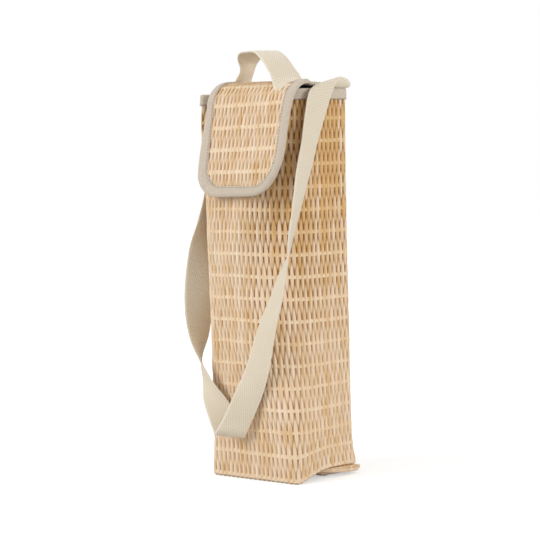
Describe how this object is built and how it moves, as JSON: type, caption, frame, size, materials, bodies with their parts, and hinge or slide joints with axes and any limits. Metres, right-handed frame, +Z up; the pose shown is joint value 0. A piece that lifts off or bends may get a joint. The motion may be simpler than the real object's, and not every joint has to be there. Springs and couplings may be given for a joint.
{
  "type": "insulated bottle carrier",
  "caption": "Soft upright bag for one bottle in woven cloth over foam, with a bound flap lid, a webbing carry handle and a long shoulder strap.",
  "frame": {"origin": "middle of the base on the floor", "axes": "+Z up to the rim, -Y the front with the flap, +X to the right of someone facing the flap"},
  "size_m": [0.1602, 0.117, 0.4189],
  "materials": {
    "woven_cloth": "matt split-reed weave",
    "foam": "closed-cell foam sheet, matt",
    "lining": "smooth dark lining cloth",
    "binding_tape": "matt cotton tape",
    "webbing": "matt cotton webbing",
    "closure_tape": "hook-and-loop tape"
  },
  "bodies": {
    "bag": {"front_side_panel": "woven_cloth", "back_panel": "woven_cloth", "base_panel": "woven_cloth", "base_fold_left": "woven_cloth", "base_fold_right": "woven_cloth", "wall_foam": "foam", "base_foam": "foam", "wall_lining": "lining", "base_lining": "lining", "rim_binding": "binding_tape", "strap_end_left": "webbing", "strap_end_right": "webbing", "closure_loop_patch": "closure_tape"},
    "flap_top": {"flap_top_panel": "woven_cloth", "flap_top_foam": "foam", "flap_top_lining": "lining", "flap_top_binding": "binding_tape", "handle_end_left": "webbing", "handle_end_right": "webbing"},
    "flap_front": {"flap_front_panel": "woven_cloth", "flap_front_foam": "foam", "flap_front_lining": "lining", "flap_front_binding": "binding_tape", "closure_hook_patch": "closure_tape"},
    "handle": {"carry_handle": "webbing"},
    "strap": {"shoulder_strap": "webbing"}
  },
  "joints": [
    {"name": "flap_lift", "type": "hinge", "parent": "bag", "child": "flap_top", "pos_m": [0, 0.04403, 0.3789], "axis": [-1, 0, 0], "range_deg": [0, 180]},
    {"name": "flap_fold", "type": "hinge", "parent": "flap_top", "child": "flap_front", "pos_m": [0.002, -0.02831, 0.38529], "axis": [-1, 0, 0], "range_deg": [0, 80]},
    {"name": "handle_swing", "type": "hinge", "parent": "flap_top", "child": "handle", "pos_m": [0.002, -0.00609, 0.40333], "axis": [1, 0, 0], "range_deg": [-75, 75]},
    {"name": "strap_swing", "type": "hinge", "parent": "bag", "child": "strap", "pos_m": [0, 0.01785, 0.368], "axis": [-1, 0, 0], "range_deg": [0, 300]}
  ]
}
